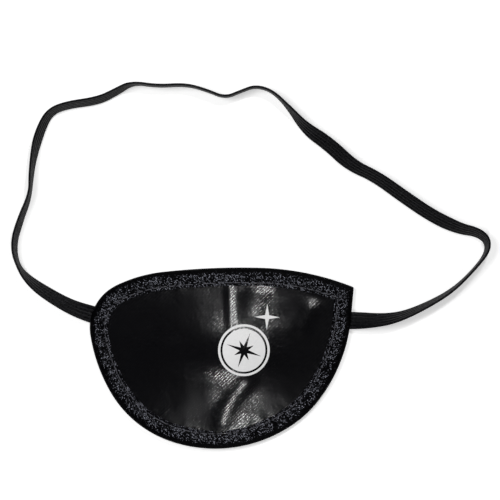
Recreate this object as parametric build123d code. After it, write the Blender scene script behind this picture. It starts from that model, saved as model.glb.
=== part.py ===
from build123d import *
import math
import os

# Cloth eye patch with a head strap of flat braided elastic, lying face up.
# Millimetres. The origin is at the middle of the patch on the surface it lies on,
# +X to the mitred corner's side, +Y to the brow edge, +Z out of the printed front.

os.makedirs("parts", exist_ok=True)

# Overall size of the patch
patch_width = 90.5
patch_height = 63.0
corner_radius = 0.9

# Cloth plies and the tape that binds their edge
binding_thickness = 0.4
binding_band = 6.3
binding_roll = 0.7
lining_thickness = 0.3
stiffener_thickness = 0.4
front_thickness = 0.3
ply_gap = 0.05
edge_clearance = 0.1

# Elastic strap and its five rubber strands
strap_width = 6.0
strap_thickness = 0.9
strand_count = 5
strand_radius = 0.22
strand_pitch = 1.1
strap_clearance = 0.15

# Where the strap is sewn in, and the gap left at the line it folds about
exit_height = 14.0
strap_buried = 12.0
strap_proud = 0.6
fold_gap = 0.5

# Dome over the eye, and the pad that fills it
dome_rise = 5.5
pad_swell = 1.0
dome_margin = 3.9
dome_side_shift = -1.5
dome_brow_shift = 1.0
rim_radius = 8.0

# Seam through the binding, in a channel that it pulls down
seam_margin = 1.1
thread_radius = 0.1
stitch_length = 2.2
stitch_pitch = 2.8
thread_clearance = 0.01
groove_side_room = 0.2

# The lap where the two ends of the binding tape meet on the brow edge
lap_place = -10.4
lap_width = 3.6
lap_thickness = 0.3
lap_lean = 18.0
lap_roll_margin = 0.3

# Transfer print: a compass in a ring, with a small star beside it
print_thickness = 0.12
compass_place = (8.0, 3.2)
compass_tilt = -18.0
ring_radius = 8.8
ring_line = 0.8
disc_radius = 7.3
long_ray = 6.3
short_ray = 3.7
ray_waist = 1.5
star_place = (15.6, 14.6)
star_ray = 4.3
star_waist = 0.95

# Edge of the patch as shares of its half width and half height, clockwise from
# the mitred corner: one straight side, then arcs that each leave along the last.
outline_shares = [
    (1.0, 0.811),
    (0.985, 0.476),
    (0.743, -0.459),
    (0.569, -0.705),
    (-0.373, -0.923),
    (-0.833, -0.399),
    (-0.995, 0.217),
    (-0.809, 0.765),
    (-0.459, 0.926),
    (0.278, 0.999),
]

# Middle line of the free strap between its two exits, clockwise, as it lies
strap_route = [
    (-49.4, 14.0),
    (-57.6, 18.9),
    (-66.3, 24.2),
    (-71.2, 29.8),
    (-72.8, 37.3),
    (-70.6, 45.8),
    (-67.4, 54.5),
    (-67.2, 62.5),
    (-66.1, 71.0),
    (-64.0, 78.5),
    (-61.2, 83.9),
    (-55.2, 86.3),
    (-44.5, 88.0),
    (-38.5, 91.2),
    (-32.8, 94.6),
    (-24.0, 93.4),
    (-14.5, 94.2),
    (-7.2, 92.4),
    (-0.8, 89.8),
    (4.6, 92.2),
    (9.7, 94.3),
    (15.8, 92.7),
    (21.5, 87.2),
    (27.5, 79.8),
    (35.5, 74.8),
    (43.3, 67.6),
    (52.0, 64.0),
    (62.0, 57.2),
    (72.0, 50.8),
    (81.0, 46.9),
    (87.4, 46.0),
    (91.4, 43.2),
    (91.9, 38.2),
    (86.2, 31.2),
    (79.0, 24.6),
    (70.0, 19.3),
    (61.0, 15.3),
    (52.4, 14.0),
]

# Heights of the plies at the edge, from the surface up
lining_low = binding_thickness + ply_gap
lining_high = lining_low + lining_thickness
pad_low = lining_high + ply_gap
pad_high = pad_low + strap_thickness + 2 * ply_gap
stiffener_low = pad_high + ply_gap
stiffener_high = stiffener_low + stiffener_thickness
front_low = stiffener_high + ply_gap
front_high = front_low + front_thickness
binding_low_leg = binding_thickness
binding_high_leg = front_high + ply_gap
edge_height = binding_high_leg + binding_thickness
strap_level = (pad_low + pad_high) / 2

# The seam's line and its channel
seam_inset = binding_band - seam_margin
groove_width = 2 * (thread_radius + groove_side_room)
groove_depth = 2 * (thread_radius + thread_clearance)

# The dome's plan is an ellipse inside the binding
dome_half_width = patch_width / 2 - binding_band - dome_margin
dome_half_height = patch_height / 2 - binding_band - dome_margin
ply_inset = binding_thickness + edge_clearance


def outline(inset=0.0):
    """Face inside the patch's edge, drawn the inset in from it."""
    corners = [(x * patch_width / 2, y * patch_height / 2) for x, y in outline_shares]
    edges = [Line(corners[0], corners[1])]
    for corner in corners[2:] + corners[:1]:
        last = edges[-1]
        edges.append(TangentArc(last @ 1, corner, tangent=last % 1))
    face = make_face(edges)
    mitre = face.vertices().sort_by_distance(corners[0])[0]
    face = fillet(mitre, corner_radius)
    if inset:
        face = offset(face, amount=-inset, kind=Kind.INTERSECTION)
    return face


def slab(face, low, high):
    """Solid under a flat face, between two heights."""
    return extrude(Pos(0, 0, low) * face, amount=high - low, dir=(0, 0, 1))


def exit_edge(side):
    """Place along X where the strap's middle line crosses the patch's edge."""
    sliver = 0.02
    chord = outline() & Pos(0, exit_height) * Rectangle(2 * patch_width, sliver)
    box = chord.bounding_box()
    return box.max.X if side > 0 else box.min.X


def dome_line(low, rise):
    """Half of a dome's cut line: flat, hollow arc, then the crown's arc."""
    turn = 2 * math.atan(rise / dome_half_height)
    crown_radius = dome_half_height / math.sin(turn) - rim_radius
    change = (crown_radius * math.sin(turn), low + rise - crown_radius * (1 - math.cos(turn)))
    flat = Line((patch_height, low), (dome_half_height, low))
    rim = TangentArc(flat @ 1, change, tangent=flat % 1)
    crown = TangentArc(rim @ 1, (0, low + rise), tangent=rim % 1)
    return [flat, rim, crown]


def dished_plate(low, low_rise, high, high_rise):
    """Wide plate with an oval dome pressed into it, wide enough for any ply."""
    under = dome_line(low, low_rise)
    over = dome_line(high, high_rise)
    axis_side = Line(under[-1] @ 1, over[-1] @ 1)
    outer_side = Line(under[0] @ 0, over[0] @ 0)
    profile = Plane.XZ * make_face(under + over + [axis_side, outer_side])
    round_plate = revolve(profile, axis=Axis.Z)
    oval_plate = scale(round_plate, by=(dome_half_width / dome_half_height, 1, 1))
    return Pos(dome_side_shift, dome_brow_shift, 0) * oval_plate


def ply(low, low_rise, high, high_rise):
    """One cloth ply, cut to the patch's outline just inside the binding's fold."""
    blank = slab(outline(ply_inset), 0, edge_height + dome_rise + pad_swell)
    return dished_plate(low, low_rise, high, high_rise) & blank


def strap_end_block(side, grow):
    """Buried end of the strap, grown all round where it is to make room."""
    edge = exit_edge(side)
    length = strap_buried + strap_proud + 2 * grow
    middle = edge + side * (strap_proud - strap_buried) / 2
    block = Box(length, strap_width + 2 * grow, strap_thickness + 2 * grow)
    return Pos(middle, exit_height, strap_level) * block


def strap_pockets():
    """Room in the plies for both buried strap ends."""
    return strap_end_block(-1, strap_clearance) + strap_end_block(1, strap_clearance)


def make_foam_pad():
    upper_rise = dome_rise + pad_swell
    return ply(pad_low, dome_rise, pad_high, upper_rise) - strap_pockets()


def band_ring(outer_inset, inner_inset, low, high):
    """Ring that follows the edge, between two insets and two heights."""
    return slab(outline(outer_inset), low, high) - slab(outline(inner_inset), low, high)


def seam_band(low, high):
    """Shallow channel that the pulled-in seam leaves along the binding."""
    return band_ring(seam_inset - groove_width / 2, seam_inset + groove_width / 2, low, high)


def binding_lap():
    """Folded end of the tape that lies over its other end, slanted across the band."""
    band = outline(binding_roll + lap_roll_margin) - outline(binding_band)
    strip = Rot(0, 0, -lap_lean) * Rectangle(lap_width, 3 * binding_band)
    fold = slab(band & Pos(lap_place, patch_height / 2) * strip, edge_height, edge_height + lap_thickness)
    return fold - seam_band(0, 2 * edge_height)


def make_edge_binding():
    """Tape folded round the plies' edge, with both legs on the seam."""
    body = slab(outline(), 0, edge_height)
    by_height = body.faces().sort_by(Axis.Z)
    body = fillet(by_height[0].edges() + by_height[-1].edges(), binding_roll)
    body -= slab(outline(binding_band), -edge_height, 2 * edge_height)
    body -= slab(outline(binding_thickness), binding_low_leg, binding_high_leg)
    body -= seam_band(-edge_height, groove_depth)
    body -= seam_band(edge_height - groove_depth, 2 * edge_height)
    body += binding_lap()
    return body - strap_pockets()


def make_stitching(level):
    """Row of separate stitches laid end to end in the seam's channel."""
    seam = outline(seam_inset).wire()
    count = round(seam.length / stitch_pitch)
    stitch = Rot(0, 90, 0) * Cylinder(thread_radius, stitch_length)
    stitches = []
    for i in range(count):
        share = (i + 0.5) / count
        spot = seam @ share
        run = seam % share
        heading = math.degrees(math.atan2(run.Y, run.X))
        stitches.append(Pos(spot.X, spot.Y, level) * Rot(0, 0, heading) * stitch)
    return Compound(children=stitches)


def star(rays, waist):
    """Star outline with the rays given by length, evenly spread."""
    corners = []
    for i, ray in enumerate(rays):
        angle = math.tau * i / len(rays)
        half_step = math.pi / len(rays)
        corners.append((ray * math.cos(angle), ray * math.sin(angle)))
        corners.append((waist * math.cos(angle + half_step), waist * math.sin(angle + half_step)))
    return make_face(Polyline(*corners, close=True))


def make_front_print():
    """Ink film on the front ply: ring, disc with a compass left bare, and star."""
    ring = Circle(ring_radius) - Circle(ring_radius - ring_line)
    disc = Circle(disc_radius) - star([long_ray, short_ray] * 4, ray_waist)
    compass = Pos(*compass_place) * Rot(0, 0, compass_tilt) * (ring + disc)
    small_star = Pos(*star_place) * star([star_ray] * 4, star_waist)
    rise = dome_rise + pad_swell
    low = front_high + ply_gap / 2
    film = dished_plate(low, rise, low + print_thickness, rise)
    columns = slab(compass, 0, 2 * rise + edge_height) + slab(small_star, 0, 2 * rise + edge_height)
    return film & columns


def strap_path():
    """Straight runs joined by the largest arcs they allow, all at one level."""
    reach = strap_proud + fold_gap
    start = (exit_edge(-1) - reach, exit_height)
    finish = (exit_edge(1) + reach, exit_height)
    points = [Vector(x, y, strap_level) for x, y in [start] + strap_route + [finish]]
    radii = []
    for before, point, after in zip(points, points[1:], points[2:]):
        turn = (point - before).get_angle(after - point)
        shorter = min((point - before).length, (after - point).length)
        radii.append(0.45 * shorter / math.tan(math.radians(turn) / 2))
    print("strap arc radii", [round(radius, 1) for radius in radii])
    return FilletPolyline(*points, radius=radii)


def make_strap(path):
    """Braid of the free strap with a channel for each rubber strand, and the strands."""
    plane = Plane(path @ 0, x_dir=(0, 0, 1), z_dir=path % 0)
    middle = (strand_count - 1) / 2
    spots = [(0, (i - middle) * strand_pitch) for i in range(strand_count)]
    strands = [sweep(plane * Pos(*spot) * Circle(strand_radius), path=path) for spot in spots]
    braid = sweep(plane * Rectangle(strap_thickness, strap_width), path=path)
    for strand in strands:
        braid -= strand
    print("strap length", round(path.length, 1))
    section = strap_thickness * strap_width - strand_count * math.pi * strand_radius**2
    print("braid volume", round(braid.volume, 1), "section times length", round(section * path.length, 1))
    return braid, Compound(children=strands)


nodes = {
    "back_lining": ply(lining_low, dome_rise, lining_high, dome_rise),
    "foam_pad": make_foam_pad(),
    "stiffener": ply(stiffener_low, dome_rise + pad_swell, stiffener_high, dome_rise + pad_swell),
    "front_panel": ply(front_low, dome_rise + pad_swell, front_high, dome_rise + pad_swell),
    "front_print": make_front_print(),
    "edge_binding": make_edge_binding(),
    "front_stitching": make_stitching(edge_height - groove_depth / 2),
    "back_stitching": make_stitching(groove_depth / 2),
    "strap_end_left": strap_end_block(-1, 0),
    "strap_end_right": strap_end_block(1, 0),
}
nodes["strap_loop"], nodes["rubber_strands"] = make_strap(strap_path())

for name, shape in nodes.items():
    export_step(shape, f"parts/{name}.step")
    print(name, "solids", len(shape.solids()), "volume", round(shape.volume, 1))
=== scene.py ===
import math

import bmesh
import bpy
import numpy as np
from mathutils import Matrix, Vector, noise


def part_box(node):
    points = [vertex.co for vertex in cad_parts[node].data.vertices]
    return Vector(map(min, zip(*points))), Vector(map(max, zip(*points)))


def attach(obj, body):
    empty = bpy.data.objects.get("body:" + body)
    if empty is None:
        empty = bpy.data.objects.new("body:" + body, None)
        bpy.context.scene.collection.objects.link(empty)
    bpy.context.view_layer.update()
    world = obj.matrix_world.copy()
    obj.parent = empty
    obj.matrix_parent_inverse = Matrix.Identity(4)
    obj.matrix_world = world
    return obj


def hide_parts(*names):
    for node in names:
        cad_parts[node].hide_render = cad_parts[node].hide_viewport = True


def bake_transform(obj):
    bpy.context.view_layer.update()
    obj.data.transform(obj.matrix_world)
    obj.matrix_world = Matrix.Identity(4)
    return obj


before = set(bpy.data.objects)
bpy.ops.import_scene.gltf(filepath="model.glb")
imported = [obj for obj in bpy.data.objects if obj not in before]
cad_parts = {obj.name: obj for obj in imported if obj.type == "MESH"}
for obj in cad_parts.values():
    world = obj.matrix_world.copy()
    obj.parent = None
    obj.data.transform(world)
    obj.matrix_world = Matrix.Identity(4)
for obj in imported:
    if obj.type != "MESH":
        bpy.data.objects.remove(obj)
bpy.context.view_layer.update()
MM = 0.001

# ---------------------------------------------------------------- back lining
# Brushed black cotton on the eye side. It is the first ply laid down, pressed
# into the same hollow as the rest, with its raw edge inside the binding.

edge_low, edge_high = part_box("edge_binding")
half_width = (edge_high.x - edge_low.x) / 2
half_height = (edge_high.y - edge_low.y) / 2
binding_band = 6.3 * MM
ply_inset = 0.6 * MM

# the edge as shares of its half width and half height, clockwise from the mitred corner:
# one straight side, then arcs that each leave along the last
edge_shares = [
    (1.0, 0.811),
    (0.985, 0.476),
    (0.743, -0.459),
    (0.569, -0.705),
    (-0.373, -0.923),
    (-0.833, -0.399),
    (-0.995, 0.217),
    (-0.809, 0.765),
    (-0.459, 0.926),
    (0.278, 0.999),
]


def tangent_arc(start, end, heading, step):
    """Points along the arc that leaves start at heading and ends at end, and its last heading."""
    chord = end - start
    turn = math.atan2(chord[1], chord[0]) - heading
    turn = (turn + math.pi) % math.tau - math.pi
    length = np.hypot(*chord)
    if abs(turn) < 1e-6:
        count = max(2, round(length / step))
        return [start + chord * i / count for i in range(count)], heading
    radius = length / (2 * math.sin(turn))
    count = max(2, round(abs(radius * 2 * turn) / step))
    middle = start + radius * np.array([-math.sin(heading), math.cos(heading)])
    points = []
    for i in range(count):
        angle = heading + 2 * turn * i / count
        points.append(middle + radius * np.array([math.sin(angle), -math.cos(angle)]))
    return points, heading + 2 * turn


def evenly(points, count):
    """The same closed line with count points, evenly spaced from its first point."""
    ring = np.vstack([points, points[:1]])
    travel = np.concatenate([[0], np.cumsum(np.hypot(*np.diff(ring, axis=0).T))])
    wanted = np.linspace(0, travel[-1], count, endpoint=False)
    return np.column_stack([np.interp(wanted, travel, ring[:, k]) for k in (0, 1)]), travel[-1]


def edge_line(step=0.1 * MM, count=720, softening=6):
    """The patch's edge, clockwise from the mitred corner, with its inward normals and its length."""
    corners = [np.array([x * half_width, y * half_height]) for x, y in edge_shares]
    side = corners[1] - corners[0]
    heading = math.atan2(side[1], side[0])
    points = []
    for start, end in zip(corners, corners[1:] + corners[:1]):
        run, heading = tangent_arc(start, end, heading, step)
        points += run
    points = np.array(points)
    for _ in range(softening):
        points = (np.roll(points, 1, 0) + 2 * points + np.roll(points, -1, 0)) / 4
    points, length = evenly(points, count)
    along = np.roll(points, -1, 0) - np.roll(points, 1, 0)
    along /= np.hypot(*along.T)[:, None]
    return points, np.column_stack([along[:, 1], -along[:, 0]]), length


edge_points, edge_normals, edge_length = edge_line()
dome_half = np.array([half_width, half_height]) - binding_band - 3.9 * MM
dome_middle = np.array([-1.5, 1.0]) * MM
rim_radius = 8 * MM


def dome(x, y, rise):
    """Height of a dome of that rise over the flat edge: an oval crown with a hollow rim."""
    across = (x - dome_middle[0]) * dome_half[1] / dome_half[0]
    out = np.hypot(across, y - dome_middle[1])
    turn = 2 * math.atan(rise / dome_half[1])
    crown = dome_half[1] / math.sin(turn) - rim_radius
    change = crown * math.sin(turn)
    top = rise - crown + np.sqrt(np.maximum(crown**2 - out**2, 0))
    rim = rim_radius - np.sqrt(np.maximum(rim_radius**2 - np.maximum(dome_half[1] - out, 0) ** 2, 0))
    return np.where(out < change, top, rim)


def edge_distance(points):
    """Distance from each point to the patch's edge, and the share of the way round."""
    gap = np.empty(len(points))
    share = np.empty(len(points))
    for i in range(0, len(points), 2000):
        block = points[i : i + 2000]
        aside = block[:, None, :] - edge_points[None, :, :]
        nearest = np.hypot(aside[..., 0], aside[..., 1]).argmin(1)
        offset = block - edge_points[nearest]
        gap[i : i + 2000] = (offset * edge_normals[nearest]).sum(1)
        share[i : i + 2000] = nearest / len(edge_points)
    return gap, share


def deselect():
    bpy.ops.object.select_all(action="DESELECT")


def apply_modifier(piece, kind, **settings):
    """Adds a modifier to a piece and applies it."""
    modifier = piece.modifiers.new(kind.title(), kind)
    for key, value in settings.items():
        setattr(modifier, key, value)
    bpy.context.view_layer.objects.active = piece
    bpy.ops.object.modifier_apply(modifier=modifier.name)


def smooth(piece, angle=40):
    """Smooth shading over all but the sharp edges."""
    deselect()
    piece.select_set(True)
    bpy.context.view_layer.objects.active = piece
    bpy.ops.object.shade_smooth_by_angle(angle=math.radians(angle))


def cloth_ply(name, inset, spacing, height, thickness, notches=()):
    """One ply: a fine grid trimmed to the patch's outline, dished by height(x, y) and thickened upwards."""
    deselect()
    bpy.ops.mesh.primitive_grid_add(
        x_subdivisions=round(2 * half_width / spacing),
        y_subdivisions=round(2 * half_height / spacing),
        size=2,
    )
    piece = bpy.context.object
    piece.name = piece.data.name = name
    co = np.array([v.co for v in piece.data.vertices])
    flat = co[:, :2] * np.array([half_width, half_height]) * 1.01
    gap, share = edge_distance(flat)
    work = bmesh.new()
    work.from_mesh(piece.data)
    work.verts.ensure_lookup_table()
    cut = gap < inset
    for low, high in notches:
        cut |= ((flat > low) & (flat < high)).all(1)
    bmesh.ops.delete(work, geom=[work.verts[i] for i in np.flatnonzero(cut)], context="VERTS")
    kept = np.flatnonzero(~cut)
    for i, vert in zip(kept, work.verts):
        vert.co = (*flat[i], 0)
        if vert.is_boundary and gap[i] < inset + 1.5 * spacing:
            nearest = round(share[i] * len(edge_points)) % len(edge_points)
            vert.co.x, vert.co.y = edge_points[nearest] + edge_normals[nearest] * inset
    work.to_mesh(piece.data)
    work.free()
    co = np.array([v.co for v in piece.data.vertices])
    co[:, 2] = height(co[:, 0], co[:, 1])
    piece.data.vertices.foreach_set("co", co.ravel())
    piece.data.update()
    apply_modifier(piece, "SOLIDIFY", thickness=thickness, offset=1)
    smooth(piece, 60)
    return piece


def new_material(name):
    """Empty node material with its shader, and a function that adds a node and sets its inputs."""
    material = bpy.data.materials.new(name)
    material.use_nodes = True
    tree = material.node_tree
    shader = tree.nodes["Principled BSDF"]

    def add(kind, settings=None, **inputs):
        node = tree.nodes.new(kind)
        for key, value in (settings or {}).items():
            setattr(node, key, value)
        for key, value in inputs.items():
            socket = node.inputs[int(key[1:])] if key[0] == "i" and key[1:].isdigit() else node.inputs[key]
            if isinstance(value, bpy.types.NodeSocket):
                tree.links.new(value, socket)
            else:
                socket.default_value = value
        return node

    def join(output, socket):
        tree.links.new(output, shader.inputs[socket])

    return material, shader, add, join


def blend_colours(add, share, low, high, start=0.0, end=1.0):
    """Colour that goes from low to high while share goes from start to end."""
    ramp = add("ShaderNodeValToRGB", Fac=share)
    for element, colour, position in zip(ramp.color_ramp.elements, (low, high), (start, end)):
        element.color = (*colour, 1)
        element.position = position
    return ramp.outputs["Color"]


def times(add, first, second):
    """Product of two values."""
    return add("ShaderNodeMath", {"operation": "MULTIPLY"}, i0=first, i1=second)


def brushed_cotton():
    material, shader, add, join = new_material("brushed_cotton")
    place = add("ShaderNodeTexCoord").outputs["Object"]
    nap = add("ShaderNodeTexNoise", Vector=place, Scale=2600.0, Detail=4.0)
    cloud = add("ShaderNodeTexNoise", Vector=place, Scale=120.0, Detail=3.0)
    mixed = times(add, nap.outputs["Fac"], cloud.outputs["Fac"])
    join(blend_colours(add, mixed.outputs[0], (0.006, 0.006, 0.007), (0.06, 0.06, 0.066)), "Base Color")
    bump = add("ShaderNodeBump", Height=nap.outputs["Fac"], Strength=0.5, Distance=0.00012)
    join(bump.outputs["Normal"], "Normal")
    shader.inputs["Roughness"].default_value = 0.95
    shader.inputs["Specular IOR Level"].default_value = 0.15
    shader.inputs["Sheen Weight"].default_value = 0.35
    shader.inputs["Sheen Roughness"].default_value = 0.5
    return material


lining_low = 0.5 * MM
lining_rise = 5.5 * MM


def slack(x, y, size, pitch, seed):
    """Soft uneven slack in a cloth, up to about size high."""
    return np.array([size * noise.noise(Vector((a / pitch, b / pitch, seed))) for a, b in zip(x, y)])


def lining_height(x, y):
    return lining_low + dome(x, y, lining_rise) + slack(x, y, 0.12 * MM, 9 * MM, 3.0)


back_lining = cloth_ply("lining_cloth", ply_inset, 0.8 * MM, lining_height, 0.22 * MM)
back_lining.data.materials.append(brushed_cotton())
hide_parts("back_lining")
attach(back_lining, "patch")

# ---------------------------------------------------------------- padding
# Soft grey foam sheet, fuller over the eye and squeezed thin at the edge, where
# the ends of the elastic lie in notches cut through it.

pad_inset = 1.0 * MM
pad_low = 0.85 * MM
pad_thin = 0.9 * MM
pad_swell = 1.0 * MM
end_notches = [
    (np.array([-60, 10.8]) * MM, np.array([-31.6, 17.2]) * MM),
    (np.array([31.2, 10.8]) * MM, np.array([60, 17.2]) * MM),
]


def foam_material():
    material, shader, add, join = new_material("padding_foam")
    place = add("ShaderNodeTexCoord").outputs["Object"]
    cells = add("ShaderNodeTexVoronoi", Vector=place, Scale=1900.0)
    cloud = add("ShaderNodeTexNoise", Vector=place, Scale=300.0, Detail=3.0)
    join(blend_colours(add, cloud.outputs["Fac"], (0.05, 0.05, 0.055), (0.16, 0.16, 0.165)), "Base Color")
    bump = add("ShaderNodeBump", Height=cells.outputs["Distance"], Strength=0.7, Distance=0.0002)
    join(bump.outputs["Normal"], "Normal")
    shader.inputs["Roughness"].default_value = 0.9
    return material


def pad_height(x, y):
    return pad_low + dome(x, y, lining_rise)


padding = cloth_ply("padding", pad_inset, 1.0 * MM, pad_height, pad_thin, end_notches)
co = np.array([v.co for v in padding.data.vertices])
upper = co[:, 2] > pad_height(co[:, 0], co[:, 1]) + pad_thin / 2
swell = dome(co[:, 0], co[:, 1], lining_rise + pad_swell) - dome(co[:, 0], co[:, 1], lining_rise)
co[:, 2] += np.where(upper, swell, 0)
padding.data.vertices.foreach_set("co", co.ravel())
padding.data.materials.append(foam_material())
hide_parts("foam_pad")
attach(padding, "patch")

# ---------------------------------------------------------------- stiffener
# Moulded non-woven interlining, a felted web of short fibres pressed to the
# dome. It keeps the cover off the eyelid. The CAD shell is its true shape.


def web_material():
    material, shader, add, join = new_material("pressed_web")
    place = add("ShaderNodeTexCoord").outputs["Object"]
    ridged = {"noise_type": "RIDGED_MULTIFRACTAL"}
    fibres = add("ShaderNodeTexNoise", ridged, Vector=place, Scale=900.0, Detail=5.0)
    join(blend_colours(add, fibres.outputs["Fac"], (0.09, 0.09, 0.09), (0.3, 0.3, 0.3)), "Base Color")
    bump = add("ShaderNodeBump", Height=fibres.outputs["Fac"], Strength=0.4, Distance=0.0001)
    join(bump.outputs["Normal"], "Normal")
    shader.inputs["Roughness"].default_value = 0.85
    return material


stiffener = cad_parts["stiffener"]
stiffener.data.materials.clear()
stiffener.data.materials.append(web_material())

# ---------------------------------------------------------------- front panel
# Black satin cover, pulled tight from the seam over the dome like a drum skin, so
# it bridges the hollow at the dome's foot. Slack gathers in a few soft folds.

front_low = 2.36 * MM
front_rise = lining_rise + pad_swell
front_thickness = 0.28 * MM
seam_inset = 5.2 * MM
crown_place = (8.0 * MM, 3.0 * MM)
crown_reach = 7.0 * MM
crown_swell = 0.5 * MM

# each fold: from x, y to x, y, then its half width and its height, in millimetres
front_folds = [
    (2.2, 27.0, 3.2, 10.0, 1.5, 0.3),
    (12.5, 27.0, 10.0, 12.0, 4.5, 0.6),
    (11.0, -6.0, 2.5, -16.0, 3.0, 0.7),
    (2.5, -16.0, 0.0, -29.0, 3.6, 0.8),
    (31.5, 19.5, 26.0, 9.0, 3.0, 0.75),
    (-34.0, 6.5, -16.0, 4.5, 2.4, 0.5),
]


def read_grid(x, y, corner, step, heights):
    """Heights of a square grid read between its points."""
    across = np.clip((x - corner[0]) / step, 0, heights.shape[1] - 1.001)
    along = np.clip((y - corner[1]) / step, 0, heights.shape[0] - 1.001)
    i, j = across.astype(int), along.astype(int)
    fx, fy = across - i, along - j
    near = heights[j, i] * (1 - fx) + heights[j, i + 1] * fx
    far = heights[j + 1, i] * (1 - fx) + heights[j + 1, i + 1] * fx
    return near * (1 - fy) + far * fy


def stretch_cover(steps=(2 * MM, 1 * MM, 0.5 * MM), rounds=(80, 120, 160), pull=1.85):
    """Tight skin from the seam over the dome: a grid relaxed on finer and finer steps."""
    corner = np.array([-46, -32]) * MM
    heights = None
    for step, count in zip(steps, rounds):
        x, y = np.meshgrid(np.arange(corner[0], 46.1 * MM, step), np.arange(corner[1], 32.1 * MM, step))
        gap, _ = edge_distance(np.column_stack([x.ravel(), y.ravel()]))
        loose = gap.reshape(x.shape) > seam_inset
        off_crown = np.hypot(x - crown_place[0], y - crown_place[1])
        crown = dome(x, y, front_rise) + crown_swell * np.exp(-((off_crown / crown_reach) ** 2))
        start = crown if heights is None else read_grid(x, y, corner, last_step, heights)
        heights = np.where(loose, np.maximum(start, crown), 0)
        chequer = np.add.outer(np.arange(x.shape[0]), np.arange(x.shape[1])) % 2 == 0
        for _ in range(count):
            for turn in (chequer, ~chequer):
                level = heights.copy()
                level[1:-1, 1:-1] = heights[:-2, 1:-1] + heights[2:, 1:-1]
                level[1:-1, 1:-1] += heights[1:-1, :-2]
                level[1:-1, 1:-1] += heights[1:-1, 2:]
                level[1:-1, 1:-1] /= 4
                moved = np.maximum(heights + pull * (level - heights), crown)
                heights = np.where(loose & turn, moved, heights)
        last_step = step
    return corner, last_step, heights


cover_corner, cover_step, cover_heights = stretch_cover()


def folds(x, y):
    """Height of the satin's folds: each is a rounded ridge that fades at both ends."""
    total = np.zeros_like(x)
    for x0, y0, x1, y1, wide, high in front_folds:
        start, run = np.array([x0, y0]) * MM, np.array([x1 - x0, y1 - y0]) * MM
        length = np.hypot(*run)
        along = ((x - start[0]) * run[0] + (y - start[1]) * run[1]) / length**2
        aside = ((x - start[0]) * run[1] - (y - start[1]) * run[0]) / length
        fade = np.clip(np.minimum(along + 0.25, 1.25 - along) / 0.5, 0, 1)
        total += high * MM * np.exp(-((aside / (wide * MM)) ** 2)) * fade * fade * (3 - 2 * fade)
    return total


def front_height(x, y):
    gap, share = edge_distance(np.column_stack([x, y]))
    fade = np.clip((gap - 4.5 * MM) / (4 * MM), 0, 1)
    loose = folds(x, y) + slack(x, y, 0.1 * MM, 6.5 * MM, 8.0)
    travel = share * edge_length
    wave = np.array([noise.noise(Vector((t / (3.4 * MM), 1.0, 0))) for t in travel])
    puckers = 0.14 * MM * wave * np.exp(-(((gap - seam_inset) / (3.2 * MM)) ** 2))
    return front_low + read_grid(x, y, cover_corner, cover_step, cover_heights) + loose * fade + puckers


def slanted_ribs(add, turned, wobble):
    """Ribs of the satin's weave, 45 degrees to the patch."""
    across_ribs = {"bands_direction": "Y"}
    vector = turned.outputs["Vector"]
    return add("ShaderNodeTexWave", across_ribs, Vector=vector, Scale=0.37, Distortion=wobble, Detail=1.0)


def satin_material():
    """Satin with floats that slant up to the right, seen as broken bright dashes where it shines."""
    material, shader, add, join = new_material("black_satin")
    place = add("ShaderNodeTexCoord").outputs["Object"]
    turned = add("ShaderNodeMapping", Vector=place, Rotation=(0, 0, math.radians(-45)), Scale=(1000, 1000, 0))
    dashes = add("ShaderNodeMapping", Vector=turned.outputs["Vector"], Scale=(0.9, 2.6, 0))
    floats = add("ShaderNodeTexNoise", Vector=dashes.outputs["Vector"], Scale=1.0, Detail=1.0)
    ribs = slanted_ribs(add, turned, 1.6)
    even_ribs = add("ShaderNodeMapRange", i0=ribs.outputs["Fac"], i3=0.45, i4=1.0)
    weave = times(add, even_ribs.outputs["Result"], floats.outputs["Fac"])
    join(blend_colours(add, weave.outputs[0], (0.0015, 0.0015, 0.002), (0.006, 0.006, 0.0075)), "Base Color")
    shine = add("ShaderNodeMapRange", i0=weave.outputs[0], i1=0.2, i2=0.52, i3=0.1, i4=1.0)
    join(shine.outputs["Result"], "Specular IOR Level")
    cloud = add("ShaderNodeTexNoise", Vector=place, Scale=90.0, Detail=2.0)
    gloss = add("ShaderNodeMapRange", i0=cloud.outputs["Fac"], i3=0.19, i4=0.26)
    join(gloss.outputs["Result"], "Roughness")
    bump = add("ShaderNodeBump", Height=weave.outputs[0], Strength=0.3, Distance=0.0002)
    join(bump.outputs["Normal"], "Normal")
    return material


front_panel = cloth_ply("satin_front", ply_inset, 0.45 * MM, front_height, front_thickness)
front_panel.data.materials.append(satin_material())
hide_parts("front_panel")
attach(front_panel, "patch")

# ---------------------------------------------------------------- transfer print
# Off-white ink film heat-pressed on the satin in separate islands: a ring, a disc
# that leaves a compass bare, and a small star. It follows every fold below it.

ink_lift = 0.11 * MM
ink_thickness = 0.1 * MM
compass_place = (8.0 * MM, 3.2 * MM)
compass_tilt = math.radians(-18)
star_place = (15.6 * MM, 14.6 * MM)
ring_radius = 8.8 * MM
ring_line = 0.8 * MM
disc_radius = 7.3 * MM


def star_reach(angles, rays, waist):
    """Reach of a straight-edged star at each angle, its rays evenly spread."""
    half_step = math.pi / len(rays)
    corners = []
    for i in range(2 * len(rays)):
        reach = rays[i // 2] if i % 2 == 0 else waist
        corners.append((reach * math.cos(i * half_step), reach * math.sin(i * half_step)))
    reach = []
    for angle in angles % math.tau:
        side = min(int(angle / half_step), len(corners) - 1)
        (ax, ay), (bx, by) = corners[side], corners[(side + 1) % len(corners)]
        cross = ax * by - ay * bx
        reach.append(cross / (math.cos(angle) * (by - ay) - math.sin(angle) * (bx - ax)))
    return np.array(reach)


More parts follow.
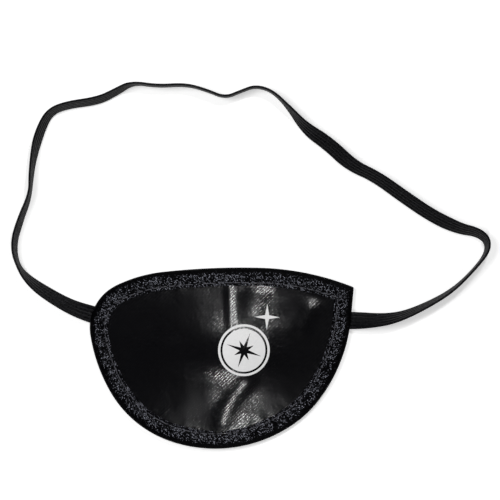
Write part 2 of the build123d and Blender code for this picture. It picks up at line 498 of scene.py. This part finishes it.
def skin(name, rows, closed_rows, across=None, along=None):
    """Mesh over rows of points that each close on themselves; UVs hold the distance across and along."""
    rows = np.asarray(rows)
    many, around = rows.shape[:2]
    mesh = bpy.data.meshes.new(name)
    quads = []
    last = many if closed_rows else many - 1
    for i in range(last):
        for j in range(around):
            k = (j + 1) % around
            row, after = i * around, (i + 1) % many * around
            quads.append((row + j, row + k, after + k, after + j))
    if not closed_rows:
        quads.append(tuple(reversed(range(around))))
        quads.append(tuple(range((many - 1) * around, many * around)))
    mesh.from_pydata([tuple(p) for p in rows.reshape(-1, 3)], [], quads)
    if across is not None:
        layer = mesh.uv_layers.new(name="flat_cloth")
        flat = []
        for i in range(last):
            for j in range(around):
                flat += [(along[i], across[j]), (along[i], across[j + 1])]
                flat += [(along[i + 1], across[j + 1]), (along[i + 1], across[j])]
        flat += [(0.0, 0.0)] * (len(mesh.loops) - len(flat))
        layer.data.foreach_set("uv", np.array(flat).ravel())
    piece = bpy.data.objects.new(name, mesh)
    bpy.context.collection.objects.link(piece)
    work = bmesh.new()
    work.from_mesh(mesh)
    bmesh.ops.recalc_face_normals(work, faces=work.faces)
    work.to_mesh(mesh)
    work.free()
    return piece


def ink_island(place, tilt, inner, outer, angles, rows):
    """One island of film between two reaches round its middle, draped on the satin."""
    rings = []
    shares = np.linspace(0, 1, rows)
    for level in (ink_lift + ink_thickness, ink_lift):
        for share in shares if level > ink_lift else shares[::-1]:
            reach = inner + (outer - inner) * share
            x = place[0] + reach * np.cos(angles + tilt)
            y = place[1] + reach * np.sin(angles + tilt)
            z = front_height(x, y) + front_thickness + level
            rings.append(np.column_stack([x, y, z]))
    return skin("ink", rings, True)


def ink_material():
    material, shader, add, join = new_material("transfer_ink")
    place = add("ShaderNodeTexCoord").outputs["Object"]
    slant = (0, 0, math.radians(-45))
    turned = add("ShaderNodeMapping", Vector=place, Rotation=slant, Scale=(1000, 1000, 1000))
    ribs = slanted_ribs(add, turned, 0.8)
    wear = add("ShaderNodeTexNoise", Vector=place, Scale=700.0, Detail=6.0)
    join(blend_colours(add, wear.outputs["Fac"], (0.86, 0.86, 0.86), (0.97, 0.97, 0.97)), "Base Color")
    bump = add("ShaderNodeBump", Height=ribs.outputs["Fac"], Strength=0.15, Distance=0.0001)
    join(bump.outputs["Normal"], "Normal")
    shader.inputs["Roughness"].default_value = 0.55
    return material


turn = np.linspace(0, math.tau, 192, endpoint=False)
even = np.ones_like(turn)
compass_rays = star_reach(turn, [6.3 * MM, 3.7 * MM] * 4, 1.5 * MM)
small_rays = star_reach(turn, [4.3 * MM] * 4, 0.95 * MM)
islands = [
    ink_island(compass_place, compass_tilt, (ring_radius - ring_line) * even, ring_radius * even, turn, 4),
    ink_island(compass_place, compass_tilt, compass_rays, disc_radius * even, turn, 16),
    ink_island(star_place, 0.0, 0.02 * small_rays, small_rays, turn, 12),
]
deselect()
for island in islands:
    island.select_set(True)
bpy.context.view_layer.objects.active = islands[0]
bpy.ops.object.join()
front_print = bpy.context.object
front_print.name = "compass_print"
front_print.data.materials.append(ink_material())
smooth(front_print, 50)
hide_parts("front_print")
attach(front_print, "patch")

# ---------------------------------------------------------------- edge binding
# Bias-cut tape folded over the raw edges of all the plies and sewn through once.
# It is pulled in along the seam, a little full outside it, and mitred at one corner.

fold_across = 7.6 * MM
lap_place = -10.4 * MM
lap_half_width = 1.8 * MM
lap_lean = math.radians(18)

# the tape's cut section from the front leg's free end, over the fold, to the back leg's
# free end and back inside, as distance in from the edge and height, in millimetres
tape_section = [
    (6.30, 2.72), (6.33, 2.92), (6.22, 3.06), (5.95, 3.12), (5.65, 3.04), (5.42, 2.86),
    (5.20, 2.78), (4.98, 2.86), (4.70, 3.06), (4.20, 3.24), (3.60, 3.33), (2.80, 3.34),
    (2.00, 3.24), (1.30, 3.08), (0.80, 2.92), (0.42, 2.72), (0.17, 2.42), (0.03, 2.02),
    (0.0, 1.55), (0.03, 1.08), (0.15, 0.66), (0.38, 0.32), (0.75, 0.10), (1.30, 0.01),
    (2.20, 0.0), (3.20, 0.0), (4.20, 0.0), (4.75, 0.02), (5.00, 0.14), (5.20, 0.19),
    (5.40, 0.14), (5.65, 0.03), (6.00, 0.0), (6.20, 0.03), (6.30, 0.14), (6.30, 0.34),
    (6.10, 0.42), (4.00, 0.42), (2.00, 0.42), (0.80, 0.46), (0.46, 0.80), (0.42, 1.55),
    (0.46, 2.30), (0.80, 2.62), (2.00, 2.68), (4.00, 2.66), (5.20, 2.60), (6.10, 2.66),
]


def inner_reaches():
    """Vector from each point of the edge to the tape's free end; at the mitre they all meet in one point."""
    reach = edge_normals * binding_band
    ends = edge_points + reach
    gap, _ = edge_distance(ends)
    folded = gap < 0.985 * binding_band
    corner = np.argmax(edge_points[:, 0] + edge_points[:, 1] * 0.2)
    order = np.roll(np.arange(len(edge_points)), len(edge_points) // 2 - corner)
    folded_near = [i for i in order if folded[i]]
    first, last = folded_near[0], folded_near[-1]
    meeting = (ends[first - 1] + ends[(last + 1) % len(ends)]) / 2
    for i in folded_near:
        reach[i] = meeting - edge_points[i]
    return reach


def binding_rows():
    reach = inner_reaches()
    section = np.array(tape_section)
    inset = section[:, 0] / 6.3
    rows = []
    for i, (point, across) in enumerate(zip(edge_points, reach)):
        travel = edge_length * i / len(edge_points)
        ripple = noise.noise(Vector((travel / (3.4 * MM), 1.0, 0))) * 0.14
        fullness = noise.noise(Vector((travel / (6.0 * MM), 5.0, 0))) * 0.10
        front = np.clip((section[:, 1] - 2.5) / 0.3, 0, 1)
        puffed = np.exp(-(((section[:, 0] - 3.0) / 1.6) ** 2)) * fullness
        pulled = np.exp(-(((section[:, 0] - 5.4) / 1.1) ** 2)) * ripple
        wander = 1 + 0.012 * noise.noise(Vector((travel / (9 * MM), 9.0, 0))) * (section[:, 0] > 5)
        flat = point[None, :] + across[None, :] * (inset * wander)[:, None]
        past_lap, past_brow = flat[:, 0] - lap_place, flat[:, 1] - half_height
        slanted = past_lap * math.cos(lap_lean) + past_brow * math.sin(lap_lean)
        lapped = (np.abs(slanted) < lap_half_width) & (flat[:, 1] > 0) & (section[:, 0] > 0.3)
        height = section[:, 1] + front * (puffed + pulled + 0.3 * lapped)
        rows.append(np.column_stack([flat, height * MM]))
    return rows


def binding_material():
    """Bias weave: short blue-grey glints set at forty-five degrees to the tape over a near-black ground; the
    glints are painted highlights in the base colour.
    """
    material, shader, add, join = new_material("bias_tape")
    place = add("ShaderNodeUVMap", {"uv_map": "flat_cloth"}).outputs["UV"]
    slanted = add("ShaderNodeMapping", Vector=place, Rotation=(0, 0, math.radians(45)))
    yarns = add("ShaderNodeMapping", Vector=slanted.outputs["Vector"], Scale=(1900, 3600, 0))
    cells = add("ShaderNodeTexVoronoi", Vector=yarns.outputs["Vector"], Scale=1.0)
    chance = add("ShaderNodeSeparateColor", Color=cells.outputs["Color"]).outputs[0]
    float_top = add("ShaderNodeMapRange", i0=cells.outputs["Distance"], i1=0.15, i2=0.65, i3=1.0, i4=0.0)
    glints = times(add, chance, float_top.outputs["Result"])
    patchy = add("ShaderNodeTexNoise", Vector=place, Scale=500.0, Detail=3.0)
    mixed = times(add, glints.outputs[0], patchy.outputs["Fac"])
    across = add("ShaderNodeSeparateXYZ", Vector=place).outputs["Y"]
    off_fold = add("ShaderNodeMath", {"operation": "SUBTRACT"}, i0=across, i1=fold_across)
    off_fold = add("ShaderNodeMath", {"operation": "ABSOLUTE"}, i0=off_fold.outputs[0])
    # painted shade: the glints dim to a third over the fold, where the tape turns away from the lights
    fold_shade = add("ShaderNodeMapRange", i0=off_fold.outputs[0], i1=1.8 * MM, i2=3.2 * MM, i3=0.3, i4=1.0)
    mixed = times(add, mixed.outputs[0], fold_shade.outputs["Result"])
    # painted highlight: the lighter colour is the light that the weave's floats catch, laid into the base
    # colour
    ground, painted_highlight = (0.001, 0.001, 0.0014), (0.34, 0.35, 0.41)
    join(blend_colours(add, mixed.outputs[0], ground, painted_highlight, 0.12, 0.36), "Base Color")
    bump = add("ShaderNodeBump", Height=glints.outputs[0], Strength=0.6, Distance=0.0002)
    join(bump.outputs["Normal"], "Normal")
    shader.inputs["Roughness"].default_value = 0.5
    shader.inputs["Specular IOR Level"].default_value = 0.04
    return material


section = np.array(tape_section) * MM
steps = np.hypot(*np.diff(np.vstack([section, section[:1]]), axis=0).T)
across_tape = np.concatenate([[0], np.cumsum(steps)])
along_tape = np.linspace(0, edge_length, len(edge_points) + 1)
edge_binding = skin("bias_binding", binding_rows(), True, across_tape, along_tape)
edge_binding.data.materials.append(binding_material())
smooth(edge_binding, 55)
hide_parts("edge_binding")
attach(edge_binding, "patch")

# ---------------------------------------------------------------- seam stitches
# One lockstitch seam through everything. The needle thread shows on the front and
# the bobbin thread on the back, each stitch a short float that dives at both ends.

stitch_pitch = 2.8 * MM
stitch_length = 2.3 * MM
thread_radius = 0.16 * MM
front_stitch_height = 2.93 * MM
back_stitch_height = 0.15 * MM


def one_stitch(dive):
    """A single float of thread along X that sinks at both ends, upwards or downwards."""
    deselect()
    bpy.ops.mesh.primitive_cylinder_add(
        vertices=10, radius=thread_radius, depth=stitch_length, rotation=(0, math.pi / 2, 0)
    )
    stitch = bpy.context.object
    bpy.ops.object.transform_apply(location=True, rotation=True, scale=True)
    bpy.ops.object.mode_set(mode="EDIT")
    for place in (0, -0.42, -0.3, -0.15, 0.15, 0.3, 0.42):
        bpy.ops.mesh.select_all(action="SELECT")
        bpy.ops.mesh.bisect(plane_co=(place * stitch_length, 0, 0), plane_no=(1, 0, 0))
    bpy.ops.object.mode_set(mode="OBJECT")
    for vert in stitch.data.vertices:
        share = abs(vert.co.x) / (stitch_length / 2)
        vert.co.y *= 1 - 0.35 * share**4
        vert.co.z = vert.co.z * (1 - 0.35 * share**4) - dive * share**3
    return stitch


def thread_material():
    material, shader, add, join = new_material("sewing_thread")
    place = add("ShaderNodeTexCoord").outputs["Object"]
    twist = add("ShaderNodeTexNoise", Vector=place, Scale=2500.0, Detail=2.0)
    join(blend_colours(add, twist.outputs["Fac"], (0.02, 0.02, 0.025), (0.14, 0.14, 0.16)), "Base Color")
    bump = add("ShaderNodeBump", Height=twist.outputs["Fac"], Strength=0.5, Distance=0.00008)
    join(bump.outputs["Normal"], "Normal")
    shader.inputs["Roughness"].default_value = 0.45
    return material


def sew(name, node, height, dive, thread):
    """Copies one stitch along the seam and joins them."""
    stitch = one_stitch(dive)
    reach = inner_reaches()
    seam = edge_points + reach * (seam_inset / binding_band)
    seam, length = evenly(seam, len(edge_points) * 2)
    count = round(length / stitch_pitch)
    local = np.array([v.co for v in stitch.data.vertices])
    verts, faces = [], []
    for i in range(count):
        k = round((i + 0.5) / count * len(seam)) % len(seam)
        run = seam[(k + 2) % len(seam)] - seam[k - 2]
        run /= np.hypot(*run)
        side = np.array([-run[1], run[0]])
        flat = seam[k] + local[:, :1] * run + local[:, 1:2] * side
        first = len(verts)
        verts += [(*p, z + height) for p, z in zip(flat, local[:, 2])]
        faces += [tuple(first + v for v in f.vertices) for f in stitch.data.polygons]
    bpy.data.objects.remove(stitch)
    mesh = bpy.data.meshes.new(name)
    mesh.from_pydata(verts, [], faces)
    row = bpy.data.objects.new(name, mesh)
    bpy.context.collection.objects.link(row)
    row.data.materials.append(thread)
    smooth(row, 50)
    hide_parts(node)
    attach(row, "patch")
    return row


thread = thread_material()
sew("needle_thread", "front_stitching", front_stitch_height, 0.25 * MM, thread)
sew("bobbin_thread", "back_stitching", back_stitch_height, -0.2 * MM, thread)

# ---------------------------------------------------------------- elastic strap
# One limp band of flat braided elastic, five ribs wide round five rubber strands.
# Both ends run into the folded edge and are caught by the seam; the rest lies free.

strap_width = 6.0 * MM
strap_thickness = 0.9 * MM

# the middle line of the free strap as it lies, clockwise, in millimetres
strap_route = [
    (-42.9, 13.4, 1.3), (-49.2, 15.0, 1.7), (-57.3, 18.9, 2.5), (-65.8, 24.3, 2.9), (-70.6, 29.9, 3.0),
    (-72.2, 37.3, 3.0), (-70.0, 45.7, 3.0), (-66.8, 54.3, 3.0), (-66.6, 62.3, 3.0), (-65.5, 70.7, 3.0),
    (-63.4, 78.0, 3.0), (-60.6, 83.2, 3.0), (-54.9, 85.6, 3.0), (-44.3, 87.3, 3.0), (-38.4, 90.4, 3.0),
    (-32.7, 93.9, 3.0), (-24.0, 92.8, 3.0), (-14.5, 93.7, 3.0), (-7.2, 91.9, 3.0), (-0.8, 89.4, 3.0),
    (4.5, 91.7, 3.0), (9.6, 93.8, 3.0), (15.5, 92.2, 3.0), (21.1, 86.9, 3.0), (27.3, 79.6, 2.5),
    (35.3, 74.5, 2.4), (43.2, 67.4, 2.7), (51.9, 63.7, 2.6), (61.8, 56.9, 2.6), (71.8, 50.5, 2.6),
    (80.8, 46.6, 2.8), (87.0, 45.6, 3.0), (90.6, 43.0, 3.0), (90.8, 38.6, 3.0), (85.6, 31.8, 3.0),
    (78.8, 25.0, 3.0), (69.8, 19.6, 3.0), (61.0, 15.6, 2.9), (52.4, 14.1, 2.4), (42.5, 14.0, 1.3),
]

# how far the band is turned up on its edge, in degrees, at each distance along it in millimetres
strap_lean = [
    (0, 4), (3, 16), (8, 32), (14, 42), (19, 47), (24, 57), (29, 74), (33, 87), (39, 80), (46, 76),
    (54, 80), (60, 89), (70, 79), (78, 66), (83, 67), (90, 72), (105, 69), (115, 75), (120, 88), (150, 90),
    (168, 90), (174, 86), (179, 76), (185, 58), (190, 42), (202, 37), (211, 50), (224, 46), (245, 45),
    (253, 57), (259, 67), (263, 82), (268, 90), (276, 90), (286, 82), (296, 72), (302, 63), (308, 47),
    (314, 32), (318, 12), (322, 4),
]


def strap_line():
    """Points along the smooth line that the route steers, read from its own spline."""
    curve = bpy.data.curves.new("strap_route", "CURVE")
    curve.dimensions = "3D"
    spline = curve.splines.new("NURBS")
    spline.points.add(len(strap_route) - 1)
    for point, place in zip(spline.points, strap_route):
        point.co = (*(Vector(place) * MM), 1)
    spline.order_u = 3
    spline.use_endpoint_u = True
    spline.resolution_u = 16
    holder = bpy.data.objects.new("strap_route", curve)
    bpy.context.collection.objects.link(holder)
    mesh = bpy.data.meshes.new_from_object(holder)
    line = np.array([v.co for v in mesh.vertices])
    bpy.data.objects.remove(holder)
    bpy.data.meshes.remove(mesh)
    return line


def rib_section(points_per_rib=10, ribs=5):
    """Cut section of the band: a row of rounded ribs above and below, as width and thickness."""
    top = []
    rib = strap_width / ribs
    for i in range(ribs * points_per_rib + 1):
        across = -strap_width / 2 + strap_width * i / (ribs * points_per_rib)
        phase = (across + strap_width / 2) / rib % 1
        bulge = math.sqrt(max(1 - (2 * phase - 1) ** 2, 0))
        edge = 1 - (abs(across) / (strap_width / 2)) ** 12
        top.append((across, strap_thickness / 2 * (0.4 + 0.6 * bulge) * (0.35 + 0.65 * edge)))
    under = [(a, -t) for a, t in reversed(top)]
    return np.array(top + under)


def ribbed_band(name, line, travel, lean):
    """Band of elastic along a line, turned up on its edge by the lean at each point."""
    section = rib_section()
    rows = []
    for i, point in enumerate(line):
        run = line[min(i + 1, len(line) - 1)] - line[max(i - 1, 0)]
        run /= np.linalg.norm(run)
        level_side = np.array([-run[1], run[0], 0]) / np.hypot(run[0], run[1])
        up = np.cross(run, level_side)
        wide = math.cos(lean[i]) * level_side + math.sin(lean[i]) * up
        thick = math.cos(lean[i]) * up - math.sin(lean[i]) * level_side
        row = point + section[:, :1] * wide + section[:, 1:] * thick
        row[:, 2] = np.maximum(row[:, 2], 0.02 * MM)
        rows.append(row)
    steps = np.hypot(*np.diff(np.vstack([section, section[:1]]), axis=0).T)
    band = skin(name, rows, False, np.concatenate([[0], np.cumsum(steps)]), travel)
    band.data.materials.append(elastic)
    smooth(band, 70)
    return band


def elastic_material():
    """Braid of fine matt yarn: slanting plaits along each rib, with lighter streaks painted in as highlights,
    placed by noise rather than on the crowns.
    """
    material, shader, add, join = new_material("braided_elastic")
    place = add("ShaderNodeUVMap", {"uv_map": "flat_cloth"}).outputs["UV"]
    plait = add("ShaderNodeMapping", Vector=place, Rotation=(0, 0, math.radians(35)), Scale=(1500, 3200, 1))
    yarn = add("ShaderNodeTexNoise", Vector=plait.outputs["Vector"], Scale=1.0, Detail=2.0)
    fleck = add("ShaderNodeTexNoise", Vector=place, Scale=1200.0, Detail=2.0)
    mixed = times(add, yarn.outputs["Fac"], fleck.outputs["Fac"])
    # painted highlight: the lighter colour stands for the highlights on the ribs, spread by noise over the
    # braid
    ground, painted_highlight = (0.0006, 0.0006, 0.0008), (0.016, 0.016, 0.019)
    join(blend_colours(add, mixed.outputs[0], ground, painted_highlight, 0.15, 0.45), "Base Color")
    bump = add("ShaderNodeBump", Height=yarn.outputs["Fac"], Strength=0.5, Distance=0.00012)
    join(bump.outputs["Normal"], "Normal")
    shader.inputs["Roughness"].default_value = 0.42
    shader.inputs["Specular IOR Level"].default_value = 0.1
    return material


elastic = elastic_material()
line = strap_line()
travel = np.concatenate([[0], np.cumsum(np.linalg.norm(np.diff(line, axis=0), axis=1))])
lean_places, lean_angles = np.array(strap_lean).T
lean = np.radians(np.interp(travel, lean_places * travel[-1] / lean_places[-1], lean_angles))
lean[4:-4] = np.convolve(lean, np.ones(9) / 9, mode="valid")
strap = ribbed_band("elastic_strap", line, travel, lean)
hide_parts("strap_loop", "rubber_strands")
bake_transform(strap)

# ---------------------------------------------------------------- sewn-in strap ends
# The last 12 mm of the elastic at each side, flat between the lining and the front
# in the padding's notches, where the binding's seam goes through them.

buried_end = 31.9 * MM
exit_height = 14.0 * MM
exit_level = 1.3 * MM
for side, node, exit_reach in ((-1, "strap_end_left", 43.3 * MM), (1, "strap_end_right", 42.9 * MM)):
    reach = np.linspace(buried_end, exit_reach, 24)
    flat_line = np.array([(side * far, exit_height, exit_level) for far in reach])
    buried = ribbed_band("buried_" + node[6:], flat_line, reach, np.zeros_like(reach))
    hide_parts(node)
    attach(buried, "patch")

# ---------------------------------------------------------------- table, light and camera
# Plain white table. A light at the upper left casts the shadows and leaves no gleam,
# two small ones beyond the brow and the chin edge are what the satin mirrors, and the
# camera looks straight down.

deselect()
bpy.ops.mesh.primitive_plane_add(size=4, location=(0, 0, -0.00005))
table = bpy.context.object
table.name = "table"
white, shader, add, join = new_material("white_table")
shader.inputs["Base Color"].default_value = (0.93, 0.93, 0.93, 1)
shader.inputs["Roughness"].default_value = 0.9
shader.inputs["Specular IOR Level"].default_value = 0.1
shader.inputs["Emission Color"].default_value = (1, 1, 1, 1)
shader.inputs["Emission Strength"].default_value = 0.45
table.data.materials.append(white)


def soft_light(name, place, aim, size, power):
    lamp = bpy.data.lights.new(name, "AREA")
    lamp.shape = "DISK"
    lamp.size = size
    lamp.energy = power
    holder = bpy.data.objects.new(name, lamp)
    holder.location = place
    holder.rotation_euler = (Vector(aim) - Vector(place)).to_track_quat("-Z", "Y").to_euler()
    bpy.context.collection.objects.link(holder)
    return holder


shadow_light = soft_light("shadow_light", (-0.32, 0.14, 0.60), (0, 0, 0), 0.3, 2.2)
shadow_light.visible_glossy = False
soft_light("brow_light", (0.144, 0.396, 0.576), (0, 0, 0), 0.10, 1.4)
soft_light("chin_light", (0.09, -0.42, 0.56), (0, 0, 0), 0.10, 1.0)

world = bpy.data.worlds.new("studio")
bpy.context.scene.world = world
world.use_nodes = True
world.node_tree.nodes["Background"].inputs["Color"].default_value = (1, 1, 1, 1)
world.node_tree.nodes["Background"].inputs["Strength"].default_value = 0.02
bpy.context.scene.view_settings.view_transform = "Standard"

view_width = 0.1725
camera_turn = math.radians(1.47)
camera_data = bpy.data.cameras.new("camera")
camera_data.lens = 140
camera_data.sensor_width = 36
camera_data.clip_start = 0.01
camera = bpy.data.objects.new("camera", camera_data)
camera.location = (0.00918, 0.0374, view_width * camera_data.lens / camera_data.sensor_width)
camera.rotation_euler = (0, 0, camera_turn)
bpy.context.collection.objects.link(camera)
bpy.context.scene.camera = camera
